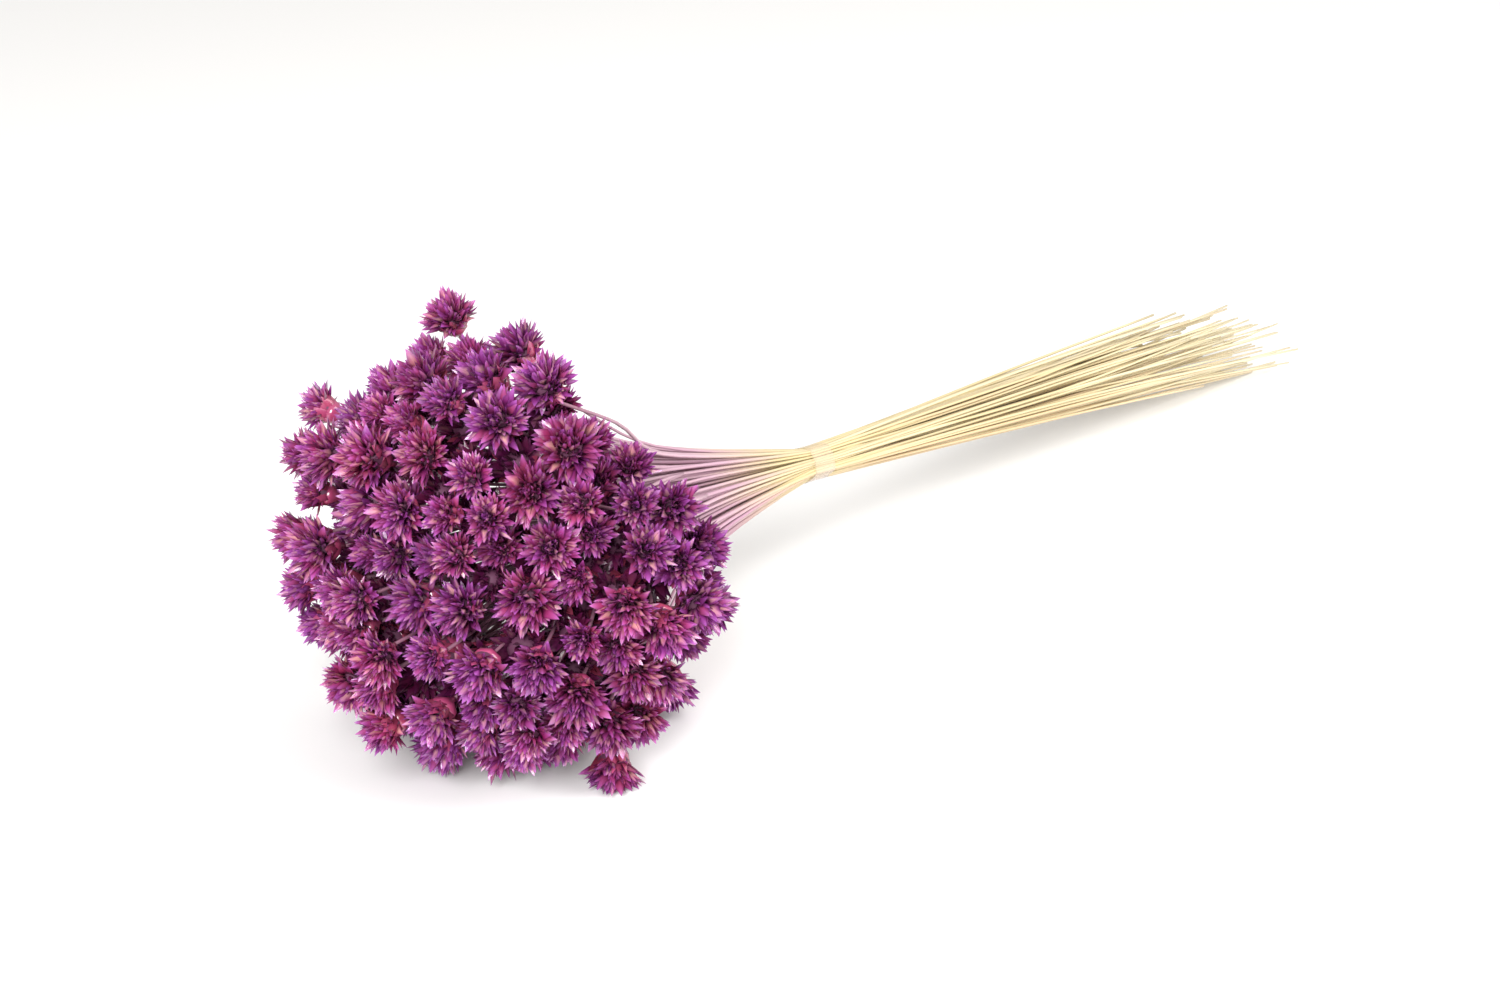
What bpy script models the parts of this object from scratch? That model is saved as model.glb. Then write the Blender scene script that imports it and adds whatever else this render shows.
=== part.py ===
"""A bunch of dried hill flowers, laid down on its heads and its cut ends.

Metres, +Z up. The bunch lies along X, heads at -X and cut ends at +X. It is laid out round the middle
of the band that ties it, and then set down with the middle of its footprint on the origin.
Every flower is one straw stem with one bristly head. Four or five neighbouring flowers make a spray: the
band presses their stems into one body, and their heads are crowded into one body round the middle one.
"""

import math

import bmesh
import bpy
import numpy as np
from mathutils import Matrix, Vector

# How many flowers there are
SPRAYS = 29
SPRAY_SIZES = [4 + spray % 2 for spray in range(SPRAYS)]
FLOWERS = sum(SPRAY_SIZES)
SEED = 103

# The whole bunch
BAND_HEIGHT = 0.0424
BAND_TO_BALL = 0.1286
BALL_HEIGHT = 0.0588
BALL_ASIDE = -0.0019
BALL_RADII = (0.0467, 0.0490, 0.0517)
BALL_OPENING = math.radians(102)
BALL_LEAN = 0.3
OPENING_TILT = (math.radians(-21), math.radians(-19))
BALL_DEPTH = (0.93, 1.06)
HEAD_DEPTH_JITTER = 0.02
TAIL_LENGTH = (0.196, 0.252)
TAIL_SPREAD = (2.6, 3.0)
CUT_SLANT = 0.22
CROWN_FAN = 28.0
CROWN_SHARE = 0.84
CROWN_EASE = (0.55, 0.05)
CROWN_BEND = 2.0
FLOOR = -BAND_HEIGHT

# Heads that stand out from the rest, measured from the middle of the ball
STRAYS = (
    (0.008, 0.021, 0.062),
    (-0.011, 0.076, 0.012),
    (-0.009, 0.065, 0.027),
    (-0.016, 0.050, -0.051),
    (0.002, -0.038, -0.053),
    (0.042, -0.021, -0.049),
    (0.045, -0.034, -0.018),
    (0.017, -0.047, 0.022),
)
STRAY_PULL = 0.3
STRAY_APART = 1.0

# One head: a narrow seat, a core, and spikes that end on a ball through the seat
HEAD_RADIUS = (0.0063, 0.0092)
CORE_SHARE = 0.76
CORE_RISE = 0.95
SPIKE_REACH = (0.90, 1.0)
SPIKE_FLARE = (1.19, 1.51)
BARE_SHARE = 0.3
NECK_RADIUS = 0.0011
LINK_DEPTH = 0.3
HEAD_AIM = 0.045
HEAD_TILT = math.radians(9)

# How the heads crowd
CROWDING = 0.88
SAME_SPRAY_SPACING = 0.94
HEAD_CLEARANCE = 0.0004
SEAT_CLEARANCE = 0.0016
FLOOR_PRESS = 0.0034
START_STEP = 1.5
BALL_PULL = 0.5
DEPTH_SLACK = (0.05, 0.13)
SLACKEN_AT = 0.7
SPRAY_DEPTH = 0.03
EDGE_SLACK = 0.1

# One stem
STEM_RADIUS = 0.00045
SEAT_GAP = 0.0003
STEM_STEPS = 3
STEM_CHECKS = 4
STEM_PUSH = 0.5

# The stems where the band squeezes them
STEM_PITCH = 0.00062
OUTER_STEM_SPACING = 0.00088
STEM_SPACING = 0.00096
SPRAY_SQUEEZE = 0.5
BAND_SQUEEZE = 0.004

# The band
BAND_WIDTH = 0.009
BAND_WALL = 0.0006
BAND_CLEARANCE = 0.0003
BAND_STEPS = 36
STRAIGHT_REACH = 0.7 * BAND_WIDTH

# Colours
HEAD_LOOKS = (
    ("dyed_magenta", (0.21, 0.022, 0.105), 0.55),
    ("dyed_violet", (0.15, 0.020, 0.115), 0.55),
    ("dyed_rose", (0.27, 0.045, 0.100), 0.55),
)
STRAW_COLOUR = (0.76, 0.61, 0.34)
TAPE_COLOUR = (0.80, 0.72, 0.64)

# What the lowest heads are pressed flat on
SLAB_SIDE = 0.6
SLAB_DEPTH = 0.04

# How the layout is worked out
CLEARING_ROUNDS = 80
RELAX_ROUNDS = 500
RELAX_RATE = 0.3
GOLDEN_ANGLE = math.pi * (3 - math.sqrt(5))

HEADWARD = np.array((-BAND_TO_BALL, 0.0, BALL_HEIGHT - BAND_HEIGHT))
BALL_CENTRE = HEADWARD + (0.0, BALL_ASIDE, 0.0)
HEADWARD /= np.linalg.norm(HEADWARD)
SIDEWARD = np.array((0.0, 1.0, 0.0))
UPWARD = np.cross(SIDEWARD, HEADWARD)
BALL_AXES = np.array((HEADWARD, SIDEWARD, UPWARD))

SPRAY_OF = np.repeat(np.arange(SPRAYS), SPRAY_SIZES)
FIRST_OF = np.cumsum([0] + SPRAY_SIZES)
IS_MIDDLE = np.isin(np.arange(FLOWERS), FIRST_OF)
SAME_SPRAY = SPRAY_OF[:, None] == SPRAY_OF[None, :]
LINKED = SAME_SPRAY & (IS_MIDDLE[:, None] != IS_MIDDLE[None, :])


def lean_over(turn):
    """Turn in the band to turn on the ball: the wider side of the ball takes more of the sprays."""
    return turn + BALL_LEAN * np.sin(turn)


def lean_back(turn):
    """Turn on the ball to turn in the band."""
    return turn - BALL_LEAN * np.sin(turn - BALL_LEAN * np.sin(turn))


def edge_of_ball(around):
    """Cosine of the angle the heads reach to, further on the -Y side and below than opposite."""
    turn = np.arctan2(around[..., 1], around[..., 0])
    return np.cos(BALL_OPENING + OPENING_TILT[0] * np.cos(turn) + OPENING_TILT[1] * np.sin(turn))


def spray_mean(values):
    """For every flower, the mean over its spray."""
    return np.array([values[SPRAY_OF == spray].mean(axis=0) for spray in range(SPRAYS)])[SPRAY_OF]


def spread_apart(place, wanted, hold):
    """Move points until linked ones are the wanted distance apart and the others at least that."""
    np.fill_diagonal(wanted, 0.0)
    for turn in range(RELAX_ROUNDS):
        gap = place[:, None] - place[None, :]
        apart = np.linalg.norm(gap, axis=2) + np.eye(len(place))
        short = wanted - apart
        short = np.where(LINKED, short, np.maximum(short, 0.0))
        np.fill_diagonal(short, 0.0)
        place = place + RELAX_RATE * ((short / apart)[..., None] * gap).sum(axis=1)
        place = hold(place, turn / RELAX_ROUNDS)
    return place


def heads_on_ball(rng):
    """Centre and radius of every head: sprays in a sunflower spiral over a ball that is open at the back."""
    radius = rng.uniform(*HEAD_RADIUS, FLOWERS)
    depth = rng.uniform(*BALL_DEPTH, SPRAYS)[SPRAY_OF] + rng.uniform(
        -HEAD_DEPTH_JITTER, HEAD_DEPTH_JITTER, FLOWERS
    )
    start = np.zeros((FLOWERS, 3))
    for spray in range(SPRAYS):
        turn = lean_over(spray * GOLDEN_ANGLE)
        edge = edge_of_ball(np.array((math.cos(turn), math.sin(turn))))
        ahead = 1 - (spray + 0.5) / SPRAYS * (1 - edge)
        aside = math.sqrt(1 - ahead * ahead)
        out = np.array((0.0, math.cos(turn), math.sin(turn)))
        across = np.array((0.0, -math.sin(turn), math.cos(turn)))
        middle = np.array((ahead, 0.0, 0.0)) + aside * out
        slope = np.array((-aside, 0.0, 0.0)) + ahead * out
        roll = rng.uniform(0, 2 * math.pi)
        for member in range(SPRAY_SIZES[spray]):
            angle = roll + member * 2 * math.pi / (SPRAY_SIZES[spray] - 1)
            step = START_STEP * radius.mean() * (member > 0)
            offset = step * (math.cos(angle) * slope + math.sin(angle) * across)
            start[FIRST_OF[spray] + member] = middle * BALL_RADII + offset
    start = start @ BALL_AXES + BALL_CENTRE

    strays = []
    targets = BALL_CENTRE + STRAYS
    for target in targets:
        taken = IS_MIDDLE | np.isin(SPRAY_OF, SPRAY_OF[strays])
        far = np.linalg.norm(start - target, axis=1) + STRAY_APART * taken
        strays.append(int(far.argmin()))

    def hold(place, progress):
        """Pull the heads back to the ball, in front of its edge and on the floor, and the strays to theirs."""
        ball = (place - BALL_CENTRE) @ BALL_AXES.T / BALL_RADII
        far = np.linalg.norm(ball, axis=1)
        slack = DEPTH_SLACK[progress > SLACKEN_AT]
        level = np.clip(far, depth - slack, depth + slack)
        spray_level = spray_mean(level)
        level = np.clip(level, spray_level - SPRAY_DEPTH, spray_level + SPRAY_DEPTH)
        level[strays] = far[strays]
        ball *= (1 + BALL_PULL * (level / far - 1))[:, None]
        far = np.linalg.norm(ball, axis=1)
        limit = edge_of_ball(ball[:, 1:]) - EDGE_SLACK
        behind = ball[:, 0] < limit * far
        sideways = np.linalg.norm(ball[:, 1:], axis=1)
        ball[behind, 1:] *= (np.sqrt(1 - limit**2) * far / sideways)[behind, None]
        ball[behind, 0] = (limit * far)[behind]
        place = (ball * BALL_RADII) @ BALL_AXES + BALL_CENTRE
        place[strays] += STRAY_PULL * (targets - place[strays])
        place[:, 2] = np.maximum(place[:, 2], FLOOR + radius - FLOOR_PRESS)
        return place

    reach = radius[:, None] + radius[None, :]
    wanted = np.where(SAME_SPRAY, SAME_SPRAY_SPACING * reach, reach + HEAD_CLEARANCE)
    wanted = np.where(LINKED, CROWDING * reach, wanted)
    return spread_apart(start, wanted, hold), radius


def push_out(points, centre, radius, clearance):
    """How far every point must move to be clear of the other flowers' heads. Row i belongs to flower i."""
    gap = points[:, :, None] - centre[None, None, :]
    apart = np.linalg.norm(gap, axis=3)
    short = np.maximum(radius + clearance - apart, 0.0)
    short[np.arange(FLOWERS), :, np.arange(FLOWERS)] = 0.0
    return ((short / apart)[..., None] * gap).sum(axis=2)


def head_directions(centre, radius, rng):
    """Heads look away from a point behind the middle of the ball, each a little off, with their seats free."""
    aim = centre - (BALL_CENTRE - HEAD_AIM * HEADWARD)
    aim /= np.linalg.norm(aim, axis=1)[:, None]
    aim += rng.normal(0.0, math.tan(HEAD_TILT), (FLOWERS, 3))
    for _ in range(CLEARING_ROUNDS):
        aim /= np.linalg.norm(aim, axis=1)[:, None]
        seat = centre - radius[:, None] * aim
        aim -= push_out(seat[:, None], centre, radius, SEAT_CLEARANCE)[:, 0] / radius[:, None]
    return aim / np.linalg.norm(aim, axis=1)[:, None]


def push_apart(path):
    """How far the knots of every stem must move for its runs to be clear of those of other sprays."""
    move = np.zeros_like(path)
    run = np.diff(path, axis=1)
    runs = range(run.shape[1])
    for k, m in [(k, m) for k in runs for m in runs if abs(k - m) < 2]:
        one, other = run[:, None, k], run[None, :, m]
        gap = path[:, None, k] - path[None, :, m]
        one_sq, other_sq, both = (one * one).sum(axis=2), (other * other).sum(axis=2), (one * other).sum(axis=2)
        near, far = (one * gap).sum(axis=2), (other * gap).sum(axis=2)
        spread = one_sq * other_sq - both * both + np.eye(FLOWERS)
        along = np.clip((both * far - other_sq * near) / spread, 0, 1)
        there = np.clip((both * along + far) / other_sq, 0, 1)
        along = np.clip((both * there - near) / one_sq, 0, 1)
        gap = gap + along[..., None] * one - there[..., None] * other
        apart = np.linalg.norm(gap, axis=2) + SAME_SPRAY
        push = (np.maximum(STEM_SPACING - apart, 0.0) / apart)[..., None] * gap
        move[:, k] += ((1 - along)[..., None] * push).sum(axis=1)
        move[:, k + 1] += (along[..., None] * push).sum(axis=1)
    return move


def bend_clear(path, centre, radius):
    """Bend the crown of every stem out of the other flowers' heads and stems."""
    for _ in range(CLEARING_ROUNDS):
        for share in np.linspace(0.0, 1.0, STEM_CHECKS, endpoint=False):
            between = path[:, :-1] * (1 - share) + path[:, 1:] * share
            move = push_out(between, centre, radius, STEM_RADIUS + 2 * HEAD_CLEARANCE)
            path[:, 1:-1] += STEM_PUSH * ((1 - share) * move[:, 1:] + share * move[:, :-1])
        path[:, 1:-1] += push_apart(path)[:, 1:-1]
    return path


def stems_in_band(centre):
    """Where every stem crosses the band, sideways and up: as the heads lie, packed tight."""
    ball = (centre - BALL_CENTRE) @ BALL_AXES.T
    far = np.linalg.norm(ball, axis=1)
    share = np.sqrt((1 - ball[:, 0] / far) / (1 - edge_of_ball(ball[:, 1:])))
    turn = lean_back(np.arctan2(ball[:, 2], ball[:, 1]))
    start = np.column_stack((share * np.cos(turn), share * np.sin(turn)))
    start *= math.sqrt(FLOWERS) * STEM_SPACING / 2
    middle = spray_mean(start)
    start = middle + (start - middle) * SPRAY_SQUEEZE

    def hold(place, progress):
        """Press the stems together, less and less."""
        return place * (1 - BAND_SQUEEZE * (1 - progress))

    wanted = np.where(SAME_SPRAY, OUTER_STEM_SPACING, STEM_SPACING)
    wanted[LINKED] = STEM_PITCH
    return spread_apart(start, wanted, hold)


def bezier(points, steps):
    """Points along a cubic Bezier."""
    a, b, c, d = (np.asarray(p)[None, :] for p in points)
    t = np.linspace(0.0, 1.0, steps + 1)[:, None]
    return a * (1 - t) ** 3 + 3 * b * t * (1 - t) ** 2 + 3 * c * t * t * (1 - t) + d * t**3


def cut_ends(band, length):
    """Where the stems end: they fan out behind the band, the upper ones shorter, and the lowest reaches the floor."""
    height = band[:, 1] / np.abs(band[:, 1]).max()
    length = length * (1 - CUT_SLANT * np.maximum(height, 0.0))
    share = length / TAIL_LENGTH[1]
    wide, tall = (1 + (spread - 1) * share for spread in TAIL_SPREAD)
    foot = ((FLOOR + STEM_RADIUS - band[:, 1] * tall) / share).max()
    return np.column_stack((length, band[:, 0] * wide, band[:, 1] * tall + foot * share))


def crown_path(band, widest, front, seat):
    """From the band to the seat of a head: an even fan, which bends to its own seat near the end."""
    share = math.hypot(*band) / widest
    turn = lean_over(math.atan2(band[1], band[0]))
    around = np.array((math.cos(turn), math.sin(turn)))
    ahead = 1 - share * share * (1 - edge_of_ball(around))
    aside = math.sqrt(1 - ahead * ahead)
    out = np.array((ahead, *(aside * around)))
    middle = BALL_CENTRE + (out * BALL_RADII * CROWN_SHARE) @ BALL_AXES
    aim = middle - (BALL_CENTRE - HEAD_AIM * HEADWARD)
    aim /= np.linalg.norm(aim)
    leave = HEADWARD + CROWN_FAN * (band[0] * SIDEWARD + band[1] * UPWARD)
    leave /= np.linalg.norm(leave)
    reach = np.linalg.norm(middle - front)
    knots = (front, front + CROWN_EASE[0] * reach * leave, middle - CROWN_EASE[1] * reach * aim, middle)
    path = bezier(knots, STEM_STEPS)
    bend = np.linspace(0.0, 1.0, STEM_STEPS + 1)[:, None] ** CROWN_BEND
    return path + bend * (seat - path[-1])


def stem_path(end, band, seat, widest):
    """From the cut end, straight through the band, and out to the seat of the head."""
    crossing = band[0] * SIDEWARD + band[1] * UPWARD
    straight = HEADWARD * STRAIGHT_REACH
    crown = crown_path(band, widest, crossing + straight, seat)
    return np.concatenate(([end, crossing - straight], crown))


def flowers():
    """Everything that places the flowers: head centres, radii, directions, and stem paths."""
    rng = np.random.default_rng(SEED)
    centre, radius = heads_on_ball(rng)
    aim = head_directions(centre, radius, rng)
    band = stems_in_band(centre)
    end = cut_ends(band, rng.uniform(*TAIL_LENGTH, FLOWERS))
    seat = centre - (radius[:, None] + SEAT_GAP) * aim
    widest = np.linalg.norm(band, axis=1).max()
    path = np.array([stem_path(end[i], band[i], seat[i], widest) for i in range(FLOWERS)])
    path[:, 2:] = bend_clear(path[:, 2:], centre, radius)
    return centre, radius, aim, band, path


def core_and_spikes(bm, radius, rng):
    """One head, seat at the origin and facing +Z: a rounded core, every face of it drawn out to a spike."""
    bmesh.ops.create_uvsphere(bm, u_segments=4, v_segments=2, radius=1.0)
    bmesh.ops.subdivide_edges(bm, edges=bm.edges[:], cuts=1, use_grid_fill=True)
    pole = min(bm.verts, key=lambda vert: vert.co.z)
    neck = [edge.other_vert(pole) for edge in pole.link_edges]
    bmesh.ops.dissolve_verts(bm, verts=[pole])
    for vert in bm.verts:
        vert.co = vert.co.normalized() * CORE_SHARE * radius
        vert.co.z += CORE_RISE * radius
    for vert in neck:
        vert.co = Vector((vert.co.x, vert.co.y, 0.0)).normalized() * NECK_RADIUS
    bmesh.ops.recalc_face_normals(bm, faces=bm.faces[:])
    spiked = []
    for face in bm.faces:
        on_neck = sum(vert in neck for vert in face.verts)
        if on_neck == 0 or (on_neck == 1 and rng.random() > BARE_SHARE):
            spiked.append(face)
    poked = bmesh.ops.poke(bm, faces=spiked)
    for vert in poked["verts"]:
        flare = rng.uniform(*SPIKE_FLARE)
        aim = Vector((vert.co.x * flare, vert.co.y * flare, vert.co.z)).normalized()
        vert.co = aim * 2 * radius * aim.z * rng.uniform(*SPIKE_REACH)
    return poked["verts"]


def head_object(centre, aim, radius, middle, rng):
    """A head in its place. One spike of it runs into the middle head of the spray, where that is another."""
    bm = bmesh.new()
    tips = core_and_spikes(bm, radius, rng)
    aim = Vector(aim)
    spin = Matrix.Rotation(rng.uniform(0, 2 * math.pi), 3, "Z")
    turn = Vector((0, 0, 1)).rotation_difference(aim).to_matrix() @ spin
    bmesh.ops.rotate(bm, verts=bm.verts[:], matrix=turn)
    bmesh.ops.translate(bm, verts=bm.verts[:], vec=Vector(centre) - aim * radius)
    middle = Vector(middle)
    if (middle - Vector(centre)).length > radius:
        nearest = min(tips, key=lambda vert: (vert.co - middle).length)
        nearest.co = middle + (nearest.co - middle).normalized() * LINK_DEPTH * radius
    mesh = bpy.data.meshes.new("head")
    bm.to_mesh(mesh)
    bm.free()
    return bpy.data.objects.new("head", mesh)


def stem_section():
    """The outline of a stem, three-sided as sedge stems are, for the curves to follow."""
    curve = bpy.data.curves.new("stem_section", "CURVE")
    spline = curve.splines.new("POLY")
    spline.points.add(2)
    for k, point in enumerate(spline.points):
        angle = 2 * math.pi * k / 3
        point.co = (STEM_RADIUS * math.cos(angle), STEM_RADIUS * math.sin(angle), 0.0, 1.0)
    spline.use_cyclic_u = True
    section = bpy.data.objects.new("stem_section", curve)
    section.hide_render = True
    section.display_type = "WIRE"
    return section


def stem_object(path, section):
    """One stem: a line of straight runs with a three-sided section and closed ends."""
    curve = bpy.data.curves.new("stem", "CURVE")
    curve.dimensions = "3D"
    curve.bevel_mode = "OBJECT"
    curve.bevel_object = section
    curve.use_fill_caps = True
    spline = curve.splines.new("POLY")
    spline.points.add(len(path) - 1)
    for point, place in zip(spline.points, path):
        point.co = (*place, 1.0)
    return as_mesh(bpy.data.objects.new("stem", curve))


def as_mesh(curve_object):
    """A curve object made into a mesh object, with its caps welded on."""
    bpy.context.scene.collection.objects.link(curve_object)
    graph = bpy.context.evaluated_depsgraph_get()
    mesh = bpy.data.meshes.new_from_object(curve_object.evaluated_get(graph))
    bm = bmesh.new()
    bm.from_mesh(mesh)
    bmesh.ops.remove_doubles(bm, verts=bm.verts[:], dist=1e-6)
    bmesh.ops.recalc_face_normals(bm, faces=bm.faces[:])
    bm.to_mesh(mesh)
    bm.free()
    made = bpy.data.objects.new(curve_object.name, mesh)
    made.matrix_world = curve_object.matrix_world
    bpy.data.objects.remove(curve_object)
    return made


def fused(name, pieces, floor):
    """One object from several that cross each other, cut flat by the floor where one is given."""
    first, rest = pieces[0], pieces[1:]
    first.name = name
    bpy.context.scene.collection.objects.link(first)
    others = bpy.data.collections.new("pieces")
    for piece in rest:
        others.objects.link(piece)
    union = first.modifiers.new("fuse", "BOOLEAN")
    union.operation = "UNION"
    union.operand_type = "COLLECTION"
    union.collection = others
    union.solver = "MANIFOLD"
    if floor:
        cut = first.modifiers.new("rest", "BOOLEAN")
        cut.operation = "DIFFERENCE"
        cut.object = floor
        cut.solver = "MANIFOLD"
    graph = bpy.context.evaluated_depsgraph_get()
    mesh = bpy.data.meshes.new_from_object(first.evaluated_get(graph))
    first.modifiers.clear()
    first.data = mesh
    for piece in rest:
        bpy.data.objects.remove(piece)
    bpy.data.collections.remove(others)
    return first


def tie_band(inner):
    """A flat ring of clear tape round the stems, turned from its section."""
    outer, half = inner + BAND_WALL, BAND_WIDTH / 2
    mesh = bpy.data.meshes.new("tie_band")
    section = [(outer, 0, half), (outer, 0, -half), (inner, 0, -half), (inner, 0, half)]
    mesh.from_pydata(section, [(0, 1), (1, 2), (2, 3), (3, 0)], [])
    band = bpy.data.objects.new("tie_band", mesh)
    screw = band.modifiers.new("turn", "SCREW")
    screw.steps = screw.render_steps = BAND_STEPS
    screw.use_merge_vertices = True
    screw.merge_threshold = 0.00001
    band.rotation_euler = Vector(HEADWARD).to_track_quat("Z", "Y").to_euler()
    bpy.context.scene.collection.objects.link(band)
    return band


def floor_slab():
    """What the lowest heads are pressed flat on."""
    bm = bmesh.new()
    bmesh.ops.create_cube(bm, size=1.0)
    bmesh.ops.scale(bm, verts=bm.verts[:], vec=(SLAB_SIDE, SLAB_SIDE, SLAB_DEPTH))
    bmesh.ops.translate(bm, verts=bm.verts[:], vec=(0.0, 0.0, FLOOR - SLAB_DEPTH / 2))
    mesh = bpy.data.meshes.new("floor_slab")
    bm.to_mesh(mesh)
    bm.free()
    slab = bpy.data.objects.new("floor_slab", mesh)
    slab.hide_render = True
    slab.display_type = "WIRE"
    return slab


def material(name, colour, roughness):
    """A plain material of one colour."""
    made = bpy.data.materials.new(name)
    made.use_nodes = True
    shader = made.node_tree.nodes["Principled BSDF"]
    shader.inputs["Base Color"].default_value = (*colour, 1.0)
    shader.inputs["Roughness"].default_value = roughness
    shader.inputs["Metallic"].default_value = 0.0
    made.diffuse_color = (*colour, 1.0)
    return made


def footprint_middle(objects):
    """Where the middle of the footprint of all the objects is, at floor height."""
    corners = np.array([obj.matrix_world @ Vector(c) for obj in objects for c in obj.bound_box])
    low, high = corners.min(axis=0), corners.max(axis=0)
    return Vector(((low[0] + high[0]) / 2, (low[1] + high[1]) / 2, FLOOR))


def main():
    """Build the bunch and set it down on the origin."""
    for obj in list(bpy.data.objects):
        bpy.data.objects.remove(obj)
    bunch = bpy.data.collections.new("hill_flower_bunch")
    guides = bpy.data.collections.new("guides")
    for collection in (bunch, guides):
        bpy.context.scene.collection.children.link(collection)
    dyed = [material(*look) for look in HEAD_LOOKS]
    straw = material("straw", STRAW_COLOUR, 0.6)
    tape = material("clear_tape", TAPE_COLOUR, 0.25)

    floor, section = floor_slab(), stem_section()
    guides.objects.link(floor)
    guides.objects.link(section)
    centre, radius, aim, band, path = flowers()
    rng = np.random.default_rng(SEED + 1)
    parts = [tie_band(np.linalg.norm(band, axis=1).max() + STEM_RADIUS + BAND_CLEARANCE)]
    parts[0].data.materials.append(tape)
    for spray in range(SPRAYS):
        own = range(FIRST_OF[spray], FIRST_OF[spray + 1])
        heads = [head_object(centre[i], aim[i], radius[i], centre[own[0]], rng) for i in own]
        low = (centre[own, 2] - radius[own]).min() < FLOOR
        heads = fused(f"heads_{spray + 1:02d}", heads, floor if low else None)
        heads.data.materials.clear()
        heads.data.materials.append(dyed[spray % len(dyed)])
        stems = fused(f"stems_{spray + 1:02d}", [stem_object(path[i], section) for i in own], None)
        stems.data.materials.clear()
        stems.data.materials.append(straw)
        parts += [heads, stems]

    bpy.context.view_layer.update()
    root = bpy.data.objects.new("hill_flower_bunch", None)
    root.location = -footprint_middle(parts)
    bunch.objects.link(root)
    for part in parts:
        bpy.context.scene.collection.objects.unlink(part)
        bunch.objects.link(part)
        part.parent = root


if __name__ == "__main__":
    main()
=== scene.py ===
"""Dresses the bunch of dried hill flowers: papery heads on straw stems, tied with clear tape."""

import math

import bmesh
import bpy
import numpy as np
from bpy.props import FloatProperty, FloatVectorProperty, IntProperty, PointerProperty
from mathutils import Matrix, Vector, noise


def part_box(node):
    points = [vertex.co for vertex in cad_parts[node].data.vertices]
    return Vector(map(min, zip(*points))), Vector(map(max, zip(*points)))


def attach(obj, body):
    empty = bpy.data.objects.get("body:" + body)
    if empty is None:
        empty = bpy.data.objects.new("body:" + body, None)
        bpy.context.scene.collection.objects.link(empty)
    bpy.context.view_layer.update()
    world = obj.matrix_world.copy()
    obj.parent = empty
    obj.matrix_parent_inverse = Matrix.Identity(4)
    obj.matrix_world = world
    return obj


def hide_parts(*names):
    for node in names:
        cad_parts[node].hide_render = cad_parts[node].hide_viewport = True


bl_info = {
    "name": "Dried hill flower bunch",
    "version": (1, 0, 0),
    "blender": (4, 5, 0),
    "location": "3D View > Sidebar > Hill flowers",
    "description": "Dresses a laid-down bunch of dyed dried hill flowers and sets up its studio",
    "category": "Object",
}

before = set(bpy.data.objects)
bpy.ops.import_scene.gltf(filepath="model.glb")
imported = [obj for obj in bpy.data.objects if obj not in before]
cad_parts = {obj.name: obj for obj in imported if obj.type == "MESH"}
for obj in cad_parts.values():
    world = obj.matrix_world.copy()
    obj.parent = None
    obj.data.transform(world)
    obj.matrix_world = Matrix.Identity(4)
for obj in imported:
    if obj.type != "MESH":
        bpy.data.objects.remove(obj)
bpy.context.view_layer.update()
TIE_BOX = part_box("tie_band")
TIE = (TIE_BOX[0] + TIE_BOX[1]) / 2

# The bunch as the solids have it, measured from the middle of the tie
SPRAYS = 29
SPRAY_SIZES = [4 + spray % 2 for spray in range(SPRAYS)]
FLOWERS = sum(SPRAY_SIZES)
SEED = 103

# The ball of heads: its place, size, open back and depth
BAND_HEIGHT = 0.0424
BAND_TO_BALL = 0.1286
BALL_HEIGHT = 0.0588
BALL_ASIDE = -0.0019
BALL_RADII = (0.0467, 0.0490, 0.0517)
BALL_OPENING = math.radians(102)
BALL_LEAN = 0.3
OPENING_TILT = (math.radians(-21), math.radians(-19))
BALL_DEPTH = (0.93, 1.06)
HEAD_DEPTH_JITTER = 0.02

# The fans of stems behind the tie and before it
TAIL_LENGTH = (0.196, 0.252)
CUT_SLANT = 0.22
TAIL_SPREAD = (2.6, 3.0)
CROWN_FAN = 28.0
CROWN_SHARE = 0.84
CROWN_EASE = (0.55, 0.05)
CROWN_BEND = 2.0
FLOOR = -BAND_HEIGHT

# Heads that stand out of the ball, from its centre
STRAYS = (
    (0.008, 0.021, 0.062),
    (-0.011, 0.076, 0.012),
    (-0.009, 0.065, 0.027),
    (-0.016, 0.050, -0.051),
    (0.002, -0.038, -0.053),
    (0.042, -0.021, -0.049),
    (0.045, -0.034, -0.018),
    (0.017, -0.047, 0.022),
)
STRAY_PULL = 0.3
STRAY_APART = 1.0

# The heads: their sizes, aims and distances
HEAD_RADIUS = (0.0063, 0.0092)
HEAD_AIM = 0.045
HEAD_TILT = math.radians(9)
CROWDING = 0.88
SAME_SPRAY_SPACING = 0.94
HEAD_CLEARANCE = 0.0004
SEAT_CLEARANCE = 0.0016
FLOOR_PRESS = 0.0034
START_STEP = 1.5
BALL_PULL = 0.5
DEPTH_SLACK = (0.05, 0.13)
SLACKEN_AT = 0.7
SPRAY_DEPTH = 0.03
EDGE_SLACK = 0.1

# The stems: their size, distances and packing in the band
STEM_RADIUS = 0.00045
SEAT_GAP = 0.0003
STEM_STEPS = 3
STEM_CHECKS = 4
STEM_PUSH = 0.5
STEM_PITCH = 0.00062
OUTER_STEM_SPACING = 0.00088
STEM_SPACING = 0.00096
SPRAY_SQUEEZE = 0.5
BAND_SQUEEZE = 0.004
BAND_WIDTH = 0.009
STRAIGHT_REACH = 0.7 * BAND_WIDTH

# How often things are moved apart, and by what share each time
CLEARING_ROUNDS = 80
RELAX_ROUNDS = 500
RELAX_RATE = 0.3

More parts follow.
